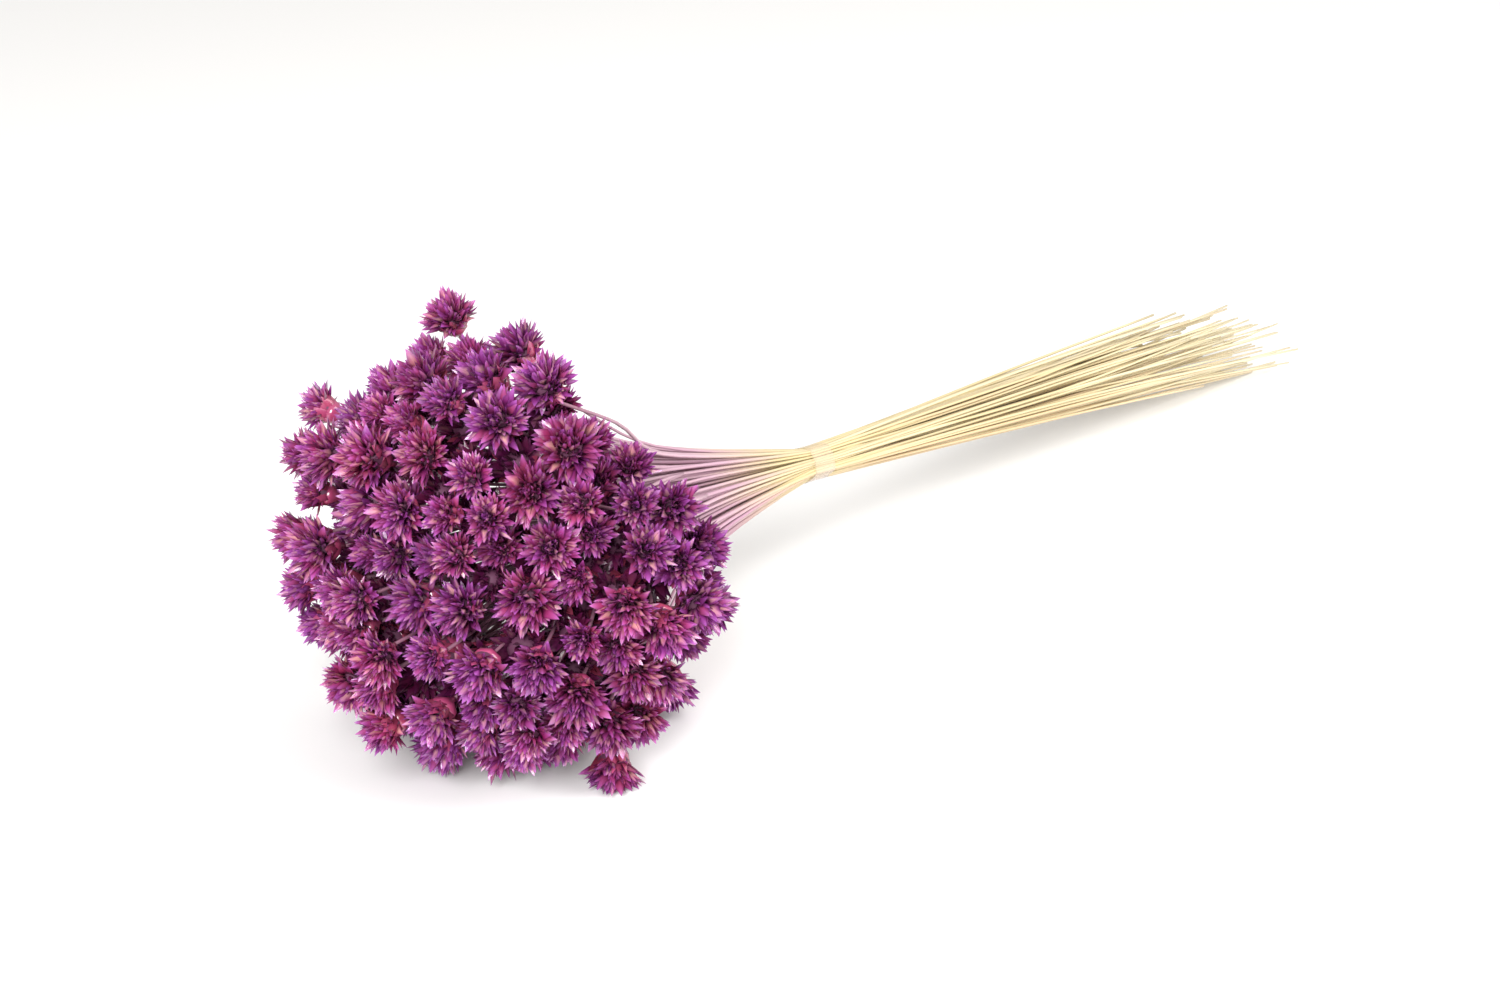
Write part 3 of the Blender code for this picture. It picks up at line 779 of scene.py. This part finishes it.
def spin_round(bm, line, steps):
    """Join points into a line and spin it once round the Z axis."""
    edges = [bm.edges.new(pair) for pair in zip(line, line[1:])]
    bmesh.ops.spin(
        bm, geom=line + edges, cent=(0, 0, 0), axis=(0, 0, 1), angle=2 * math.pi, steps=steps, use_merge=True
    )


def cup_mesh():
    """The smooth cup that carries the scales, from the stem to its closed top."""
    bm = bmesh.new()
    shade = bm.verts.layers.float_color.new("scale")
    spin_round(bm, [bm.verts.new((aside, 0.0, height)) for aside, height in CUP_PROFILE], CUP_STEPS)
    bmesh.ops.remove_doubles(bm, verts=bm.verts[:], dist=1e-5)
    turn_outwards(bm)
    for vert in bm.verts:
        vert[shade] = CUP_SHADE
    return as_mesh(bm, "cup")


def head_mesh(settings, inner, outer, tufts, opening, rng):
    """One head with a radius of 1, its seat at the origin, facing +Z, opened to an angle from its axis."""
    bm = bmesh.new()
    shade = bm.verts.layers.float_color.new("scale")
    axis = Vector((0, 0, 1))

    def add_scale(mesh, foot, tip, roll, kind):
        """Stand a scale on its foot, and give it its kind and a draw of its own."""
        added = add_mesh(bm, mesh, standing(foot, tip, axis, roll))
        own = rng.random()
        for vert in added:
            along, _, _, side = vert[shade]
            vert[shade] = (along, own, kind, side)

    add_mesh(bm, cup_mesh())
    # A dark ball in the middle: painted shade deep inside the head
    core = bmesh.ops.create_icosphere(bm, subdivisions=2, radius=settings.core)["verts"]
    bmesh.ops.translate(bm, verts=core, vec=(0, 0, CORE_HEIGHT))
    for vert in core:
        vert[shade] = CORE_SHADE

    for k in range(settings.outer_scales):
        turn = k * GOLDEN_ANGLE + rng.uniform(*OUTER_TURN)
        low = k / settings.outer_scales
        height, aside = between(OUTER_FOOT_HEIGHT, low), between(OUTER_FOOT_RADIUS, low)
        foot = on_ball(height, aside, OUTER_FOOT_ANGLE, turn)
        polar = opening + math.radians(rng.uniform(*OUTER_OPENING) - OUTER_DROP * low)
        tip = on_ball(1.0, rng.uniform(*OUTER_REACH), polar, turn)
        add_scale(outer, foot, tip, rng.uniform(*OUTER_ROLL), OUTER_KIND)

    for k in range(tufts):
        share = k / (tufts - 1)
        polar = math.acos(1 - share * (1 - math.cos(opening))) * rng.uniform(*TUFT_OPENING)
        turn = k * GOLDEN_ANGLE + rng.uniform(*TUFT_TURN)
        # The middle third of a head is shorter, and its middle quarter closes over itself
        reach = settings.reach * between(MIDDLE_REACH, share * 3) * rng.uniform(*TUFT_REACH)
        closing = between(MIDDLE_CLOSING, share * 4)
        for member in range(settings.tuft_scales):
            angle = member * 2 * math.pi / max(settings.tuft_scales - 1, 1) + rng.uniform(0, 1)
            spread = (member > 0) * rng.uniform(*INNER_SPREAD)
            own_polar = polar + spread * math.cos(angle)
            own_turn = turn + spread * math.sin(angle) / max(math.sin(polar), NARROWEST)
            foot = on_ball(INNER_FOOT_HEIGHT, INNER_FOOT_RADIUS, INNER_FOOT_CLOSING * own_polar, own_turn)
            lean = rng.uniform(*INNER_LEAN, 2)
            own_reach = reach * rng.uniform(*INNER_REACH)
            tip = on_ball(TIP_HEIGHT, own_reach, closing * own_polar + lean[0], own_turn + lean[1])
            roll = rng.uniform(*INNER_ROLL)
            add_scale(inner[int(rng.integers(len(inner)))], foot, tip, roll, INNER_KIND)
    return as_mesh(bm, "head")


def lay_on_surface(verts, soft=0.003):
    """Squash what would sink into the surface, the lowest part most."""
    for vert in verts:
        if vert.co.z < soft:
            vert.co.z = soft * math.exp((vert.co.z - soft) / soft)


def finished_piece(name, bm, node, material):
    """An object that stands for a node of the frame and rides on its body."""
    mesh = as_mesh(bm, name)
    mesh.materials.append(material)
    mesh.shade_smooth()
    piece = bpy.data.objects.new(name, mesh)
    bpy.context.scene.collection.objects.link(piece)
    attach(piece, "root")
    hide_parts(node)


def scale_finish(name, colour, settings):
    """Dyed papery scales: the dye colour, paler thin tips and streaks along them, with painted shade on rims,
    feet, core and some heads, and ridges partly painted highlight.
    """
    finish = Finish(name, Metallic=0.0, IOR=1.5, Specular_IOR_Level=1.0)
    scale = {"attribute_name": "scale"}
    data = finish.add("Attribute", settings=scale)
    side = finish.add("Attribute", output=3, settings=scale)
    tone_and_shade = finish.add("Attribute", output=2, settings={"attribute_name": "tone_and_shade"})
    along, own, kind = finish.parts(data)
    place = finish.add("CombineXYZ", X=side * 5.0, Y=along * 1.2, Z=own * 40.0)
    streak = finish.add("TexNoise", Vector=place, Scale=2.0, Detail=3.0, Roughness=0.6)
    patch = finish.add("TexNoise", Vector=finish.add("TexCoord", output=3), Scale=110.0, Detail=2.0)

    def from_kind(lowest):
        """1 on surfaces of that kind or a higher one, and 0 on the others."""
        return finish.ramp(kind, lowest - 0.3, lowest - 0.2)

    # Painted shade: every scale darkens from its light ridge towards its two rims
    rim_shade = (side - 0.5) * (side - 0.5) * 4.0
    # The middle of a scale, where its pale ridge is partly a painted highlight
    ridge_glint = (1.0 - rim_shade) * (1.0 - rim_shade)
    waist = along * (1.0 - along) * 4.0
    core = from_kind(CORE_KIND)

    # Each covers those before it by its share: patches, some scales, tips, painted shade on the rims, pale
    # ridges that are partly painted highlight, heads darker at random and by painted shade, outer scales and
    # cups, painted shade at the feet, and the core in painted shade
    layers = (
        (finish.ramp(patch, 0.45, 0.62), settings.violet),
        (finish.ramp(own, 0.30, 0.20) * 0.7, settings.cup),
        (along * along * along * (0.2 + 0.9 * streak), settings.tip),
        # Painted shade on the rims
        (rim_shade * 0.6, settings.deep),
        # Pale ridges on some scales: partly less dye, partly painted highlight
        (finish.ramp(own, 0.60, 0.95) * ridge_glint * waist * (0.2 + streak), settings.bare),
        # Whole heads darker: a random tone, and painted shade
        (tone_and_shade * 0.48, settings.deep),
        (from_kind(OUTER_KIND) * 0.75, settings.cup),
        # Painted shade at the feet of the scales
        (finish.ramp(along, 0.56, 0.12) * 0.85, settings.heart_shade),
        # The core in painted shade
        (core, settings.heart_shade),
    )
    base = colour
    for share, shade in layers:
        base = finish.mix(share, base, shade)
    bump = finish.add("Bump", Strength=0.35, Distance=0.0002, Height=streak)
    rough = 0.10 + 0.24 * streak + 0.55 * core
    return finish.dress(Base_Color=base, Roughness=rough, Normal=bump)


def stem_finish(settings):
    """Straw with fine grain along the stems, tinted mauve towards the heads where the dye ran down, darker by
    the heads partly as painted shade, and painted lighter at the cut ends.
    """
    finish = Finish("straw", Metallic=0.0, IOR=1.45)
    data = finish.add("Attribute", settings={"attribute_name": "stem"})
    own, along, around = finish.parts(data)
    lines = finish.add("CombineXYZ", X=along * 60.0, Y=around * 6.0, Z=own * 50.0)
    grain = finish.add("TexNoise", Vector=lines, Scale=1.0, Detail=4.0, Roughness=0.65)
    x = finish.add("SeparateXYZ", Vector=finish.add("TexCoord", output=3))
    start = x + 0.016 * own + 0.010 * grain

    def along_bunch(reach):
        """0 to 1 between two distances from the tie."""
        return finish.ramp(start, TIE.x + reach[0], TIE.x + reach[1])

    # Greenish, pale, tan, straw and golden stems
    shades = (
        (0.0, (0.45, 0.42, 0.21)),
        (1.0, (0.64, 0.56, 0.40)),
        (0.2, (0.63, 0.45, 0.27)),
        (0.45, tuple(settings.straw)),
        (0.75, (0.62, 0.51, 0.28)),
    )
    straw = finish.add("ValToRGB", settings={"stops": shades}, Fac=own * 0.75 + 0.3 * grain)
    # Painted light: paler towards the cut ends
    straw = finish.mix(along_bunch(END_LIGHT_REACH) * 0.6, straw, settings.pale)
    mauve = finish.mix(own * 0.6 + 0.3 * grain, settings.mauve, settings.blush)
    base = finish.mix(along_bunch(DYE_REACH), straw, mauve)
    # Dark near the heads: partly dye, partly painted shade
    base = finish.mix(along_bunch(STAIN_AND_SHADE_REACH) * 0.85, base, settings.stain_and_shade)
    bump = finish.add("Bump", Strength=0.3, Distance=0.0001, Height=grain)
    return finish.dress(Base_Color=base, Roughness=0.38 + 0.25 * grain, Normal=bump)


def tape_finish(settings):
    """Clear tape, milky where it has creased, and milky on its lower part as a painted highlight."""
    finish = Finish("clear_tape", Metallic=0.0, IOR=1.45)
    place = finish.add("TexCoord", output=3)
    crease = finish.add("TexNoise", Vector=place, Scale=260.0, Detail=3.0, Roughness=0.6)
    height = finish.add("SeparateXYZ", output=2, Vector=place)
    # Painted highlight: the lower part of the tape turns milky and more opaque
    under = finish.ramp(height, TIE.z + LOWER_HIGHLIGHT_REACH[0], TIE.z + LOWER_HIGHLIGHT_REACH[1])
    base = finish.mix(0.3 * crease + 0.7 * under, settings.tape, settings.lower_highlight_colour)
    rough = 0.10 + 0.2 * crease
    milk = 0.08 + 0.16 * crease + 0.32 * under
    bump = finish.add("Bump", Strength=0.3, Distance=0.0002, Height=crease)
    return finish.dress(Base_Color=base, Roughness=rough, Alpha=milk, Normal=bump)


def smooth_run(path, steps, rng, sway, ease):
    """Points of a stem on a smooth line through its knots, straying a little on both sides of the tie."""
    path = path.copy()
    path[-2] += ease * (EVENED_TO[0] * path[-3] + EVENED_TO[1] * path[-1] - path[-2])
    knots = [2 * path[0] - path[1], *path, 2 * path[-1] - path[-2]]
    points = []
    for k in range(1, len(knots) - 2):
        before, start, end, after = knots[k - 1 : k + 3]
        count = 2 * steps if k == 1 else steps
        reach = np.linalg.norm(end - start)
        lead = (end - before) / np.linalg.norm(end - before) * reach
        leave = (after - start) / np.linalg.norm(after - start) * reach
        run = bezier((start, start + lead / 3, end - leave / 3, end), count)
        points.extend(run[:-1])
    points.append(path[-1])
    points = np.array(points)
    tail = 2 * steps
    bow = np.sin(np.linspace(0, math.pi, tail + 1))[:, None]
    splay = np.linspace(1, 0, tail + 1)[:, None] ** 2
    wave = np.sin(np.linspace(0, math.pi, len(points) - tail - steps))[:, None]
    drift = rng.normal(0, sway, (3, 3)) * (0.0, 1.0, 1.0)
    points[: tail + 1] += TAIL_BOW * bow * drift[0] + TAIL_SPLAY * splay * drift[1]
    points[tail + steps :] += CROWN_WAVE * wave * drift[2]
    points[: tail + 1, 2] = np.maximum(points[: tail + 1, 2], FLOOR + STEM_RADIUS)
    return points


def stem_mesh(points, radius, settings, own):
    """One round stem, with its own draw, and how far along and round it they are, on its points."""
    curve = bpy.data.curves.new("stem", "CURVE")
    curve.dimensions = "3D"
    curve.bevel_depth = radius
    curve.bevel_resolution = 1
    curve.use_fill_caps = True
    spline = curve.splines.new("POLY")
    spline.points.add(len(points) - 1)
    for knot, place in zip(spline.points, points):
        knot.co = (*place, 1.0)
        crown = min(max(TIE.x - place[0], 0.0) / SWELL_LENGTH, 1.0)
        end = max(place[0] - TIE.x, 0.0) / TAIL_LENGTH[1]
        knot.radius = 1.0 + settings.swell * crown - settings.taper * end**2
    holder = bpy.data.objects.new("stem", curve)
    bpy.context.scene.collection.objects.link(holder)
    mesh = bpy.data.meshes.new_from_object(holder.evaluated_get(bpy.context.evaluated_depsgraph_get()))
    bpy.data.objects.remove(holder)
    bpy.data.curves.remove(curve)
    bm = bmesh.new()
    bm.from_mesh(mesh)
    bpy.data.meshes.remove(mesh)
    shade = bm.verts.layers.float_color.new("stem")
    for k, vert in enumerate(bm.verts):
        vert[shade] = (own, vert.co.x * ALONG_SCALE + 1.0, (k % STEM_RING) / STEM_RING, 1.0)
    bmesh.ops.remove_doubles(bm, verts=bm.verts[:], dist=1e-6)
    turn_outwards(bm)
    return as_mesh(bm, "stem")


def tight_reach(points, angle):
    """How far a line pulled tight round the points reaches in one direction."""
    turns = np.linspace(0.0, 2 * math.pi, TIGHT_STEPS, endpoint=False)
    hold = (points @ np.array((np.cos(turns), np.sin(turns)))).max(axis=0)
    slant = np.cos(angle - turns)
    ahead = slant > TIGHT_SLANT
    return float((hold[ahead] / slant[ahead]).min())


def aimed(name, data, place, target):
    """A lamp or camera at a place, turned to the target."""
    thing = bpy.data.objects.new(name, data)
    thing.location = place
    thing.rotation_euler = (target - thing.location).to_track_quat("-Z", "Y").to_euler()
    bpy.context.scene.collection.objects.link(thing)
    return thing


def add_lamp(name, power, size, place, target):
    """A square lamp at a place, turned to the target."""
    light = bpy.data.lights.new(name, "AREA")
    light.shape = "SQUARE"
    light.size = size
    light.energy = power
    aimed(name, light, place, target)


class HILL_OT_heads(bpy.types.Operator):
    """Dress every spray of heads with papery scales"""

    bl_idname = "hill.heads"
    bl_label = "Flower heads"

    def execute(self, context):
        settings = context.scene.hill_heads
        rng = np.random.default_rng(settings.seed)
        inner = [blade(settings.width * wide, fold, curl) for wide, fold, curl in INNER_SCALES]
        outer = blade(settings.outer_width, OUTER_FOLD, OUTER_CURL)
        openings = np.linspace(*settings.opening, settings.variants)

        def heads_of(tufts, openings):
            """A head for every opening."""
            return [head_mesh(settings, inner, outer, tufts, opening, rng) for opening in openings]

        variants = heads_of(settings.tufts, openings)
        small = heads_of(settings.late_tufts, openings[-2:])
        finishes = {
            dye: scale_finish(dye, tuple(colour), settings)
            for dye, colour in zip(DYES, (settings.magenta, settings.violet, settings.rose))
        }
        heads = [[] for _ in range(SPRAYS)]
        for flower in range(FLOWERS):
            place = HEAD_CENTRE[flower], HEAD_SIZE[flower], HEAD_FACING[flower]
            ahead = float(HEAD_FACING[flower] @ HEADWARD)
            # A random tone, and painted shade that grows as a head turns away from the front
            dark = rng.random() ** DARK_RARITY * (settings.tone - settings.front_light * ahead)
            heads[SPRAY_OF[flower]].append((*place, variants, dark))
        late = late_heads(HEAD_CENTRE, STEM_PATH, settings.late, settings.late_depth)
        for centre, radius, aim, near, _ in late:
            # The late heads carry painted shade, as they lie deep in the ball
            heads[SPRAY_OF[near]].append((centre, radius, aim, small, settings.late_shade))
        for spray in range(SPRAYS):
            bm = bmesh.new()
            bm.verts.layers.float_color.new("scale")
            tone_and_shade = bm.verts.layers.float.new("tone_and_shade")
            for centre, radius, aim, kinds, tone in heads[spray]:
                facing = Vector(aim)
                seat = TIE + Vector(centre) - facing * radius
                turn = Vector((0, 0, 1)).rotation_difference(facing).to_matrix().to_4x4()
                roll = Matrix.Rotation(rng.uniform(0, 2 * math.pi), 4, "Z")
                size = Matrix.Scale(radius, 4)
                matrix = Matrix.Translation(seat) @ turn @ roll @ size
                added = add_mesh(bm, kinds[int(rng.integers(len(kinds)))], matrix)
                lay_on_surface(added)
                for vert in added:
                    vert[tone_and_shade] = tone
            dye = DYES[spray % 3]
            name = f"flower_heads_{spray + 1:02d}"
            finished_piece(name, bm, f"heads_{spray + 1:02d}", finishes[dye])
        return {"FINISHED"}


class HILL_OT_stems(bpy.types.Operator):
    """Dress every spray of stems with round straw"""

    bl_idname = "hill.stems"
    bl_label = "Stems"

    def execute(self, context):
        settings = context.scene.hill_stems
        rng = np.random.default_rng(SEED)
        finish = stem_finish(settings)
        runs = [[] for _ in range(SPRAYS)]
        for flower in range(FLOWERS):
            run = smooth_run(STEM_PATH[flower], settings.steps, rng, settings.sway, settings.ease)
            runs[SPRAY_OF[flower]].append(run)
        late = context.scene.hill_heads
        for _, _, _, near, branch in late_heads(HEAD_CENTRE, STEM_PATH, late.late, late.late_depth):
            runs[SPRAY_OF[near]].append(branch)
        for spray in range(SPRAYS):
            bm = bmesh.new()
            bm.verts.layers.float_color.new("stem")
            for points in runs[spray]:
                radius = settings.radius * (1 + rng.uniform(-1, 1) * settings.spread)
                straw = stem_mesh(points + np.array(TIE), radius, settings, rng.random())
                add_mesh(bm, straw)
            name = f"straw_stems_{spray + 1:02d}"
            finished_piece(name, bm, f"stems_{spray + 1:02d}", finish)
        return {"FINISHED"}


class HILL_OT_band(bpy.types.Operator):
    """Wind the clear tape round the stems"""

    bl_idname = "hill.band"
    bl_label = "Tape"

    def execute(self, context):
        settings = context.scene.hill_band
        turn = Matrix((SIDEWARD, UPWARD, -HEADWARD)).transposed().to_4x4()
        bm = bmesh.new()
        rows = np.linspace(-BAND_WIDTH / 2, BAND_WIDTH / 2, BAND_ROWS)
        spin_round(bm, [bm.verts.new((1.0, 0.0, height)) for height in rows], BAND_STEPS)
        for vert in bm.verts:
            angle = math.atan2(vert.co.y, vert.co.x)
            around, across = RIPPLES[0] * vert.co.xy.normalized(), RIPPLES[1] * vert.co.z
            ripple = noise.noise((*around, across))
            vert.co.xy *= tight_reach(STEM_CROSSING, angle) + STEM_RADIUS + settings.gap * (1 + ripple)
        turn_outwards(bm)
        bmesh.ops.solidify(bm, geom=bm.faces[:], thickness=settings.wall)
        turn_outwards(bm)
        bmesh.ops.transform(bm, matrix=Matrix.Translation(TIE) @ turn, verts=bm.verts[:])
        finished_piece("wound_tape", bm, "tie_band", tape_finish(settings))
        return {"FINISHED"}


class HILL_OT_stage(bpy.types.Operator):
    """Lay the pale surface and set up the light and the camera"""

    bl_idname = "hill.stage"
    bl_label = "Stage"

    def execute(self, context):
        settings = context.scene.hill_stage
        scene = context.scene
        bm = bmesh.new()
        bmesh.ops.create_grid(bm, x_segments=1, y_segments=1, size=settings.floor / 2)
        floor = bpy.data.objects.new("surface", as_mesh(bm, "surface"))
        scene.collection.objects.link(floor)
        finish = Finish("white_surface", Roughness=0.6)
        dust = finish.add("TexNoise", Vector=finish.add("TexCoord", output=3), Scale=220.0, Detail=3.0)
        pale = finish.mix(0.04 * dust, tuple(settings.surface), (0.80, 0.80, 0.79))
        floor.data.materials.append(finish.dress(Base_Color=pale))

        world = bpy.data.worlds.new("studio")
        world.use_nodes = True
        light = world.node_tree.nodes["Background"].inputs
        light["Color"].default_value = (*settings.tint, 1.0)
        light["Strength"].default_value = settings.sky
        scene.world = world

        target = Vector((TIE.x + settings.target[0], TIE.y + settings.target[1], 0.0))
        look = Vector((math.sin(settings.turn), math.cos(settings.turn), 0.0))
        view = Matrix(((look.y, -look.x, 0.0), look, (0.0, 0.0, 1.0))).transposed()
        key_place = target + view @ Vector(settings.key_place)
        fill_place = target + view @ Vector(settings.fill_place)
        add_lamp("camera_lamp", settings.key, settings.key_size, key_place, target)
        add_lamp("side_lamp", settings.fill, settings.fill_size, fill_place, target)

        back = Vector((0.0, -math.cos(settings.elevation), math.sin(settings.elevation)))
        place = target + view @ back * settings.distance
        camera = aimed("camera", bpy.data.cameras.new("camera"), place, target)
        camera.data.sensor_width = SENSOR_WIDTH
        camera.data.lens = PHOTO_FOCAL_PIXELS / PHOTO_WIDTH * SENSOR_WIDTH
        scene.camera = camera
        scene.view_settings.view_transform = "Standard"
        return {"FINISHED"}


class HILL_PT_panel(bpy.types.Panel):
    """The pieces of the bunch and their settings"""

    bl_idname = "HILL_PT_panel"
    bl_label = "Hill flowers"
    bl_space_type = "VIEW_3D"
    bl_region_type = "UI"
    bl_category = "Hill flowers"

    def draw(self, context):
        for name, operator in PIECES:
            box = self.layout.box()
            box.operator(operator)
            settings = getattr(context.scene, name)
            for prop in settings.bl_rna.properties:
                if prop.identifier not in ("rna_type", "name"):
                    box.prop(settings, prop.identifier)


PIECES = (
    ("hill_heads", "hill.heads"),
    ("hill_stems", "hill.stems"),
    ("hill_band", "hill.band"),
    ("hill_stage", "hill.stage"),
)
GROUPS = (HeadSettings, StemSettings, BandSettings, StageSettings)
CLASSES = (*GROUPS, HILL_OT_heads, HILL_OT_stems, HILL_OT_band, HILL_OT_stage, HILL_PT_panel)


def register():
    """Make the settings, operators and panel known to Blender."""
    for kind in CLASSES:
        bpy.utils.register_class(kind)
    for (name, _), group in zip(PIECES, GROUPS):
        setattr(bpy.types.Scene, name, PointerProperty(type=group))


def unregister():
    """Take them out again."""
    for name, _ in PIECES:
        delattr(bpy.types.Scene, name)
    for kind in reversed(CLASSES):
        bpy.utils.unregister_class(kind)


def main():
    """Make every piece."""
    register()
    bpy.ops.hill.heads()
    bpy.ops.hill.stems()
    bpy.ops.hill.band()
    bpy.ops.hill.stage()


if __name__ == "__main__":
    main()
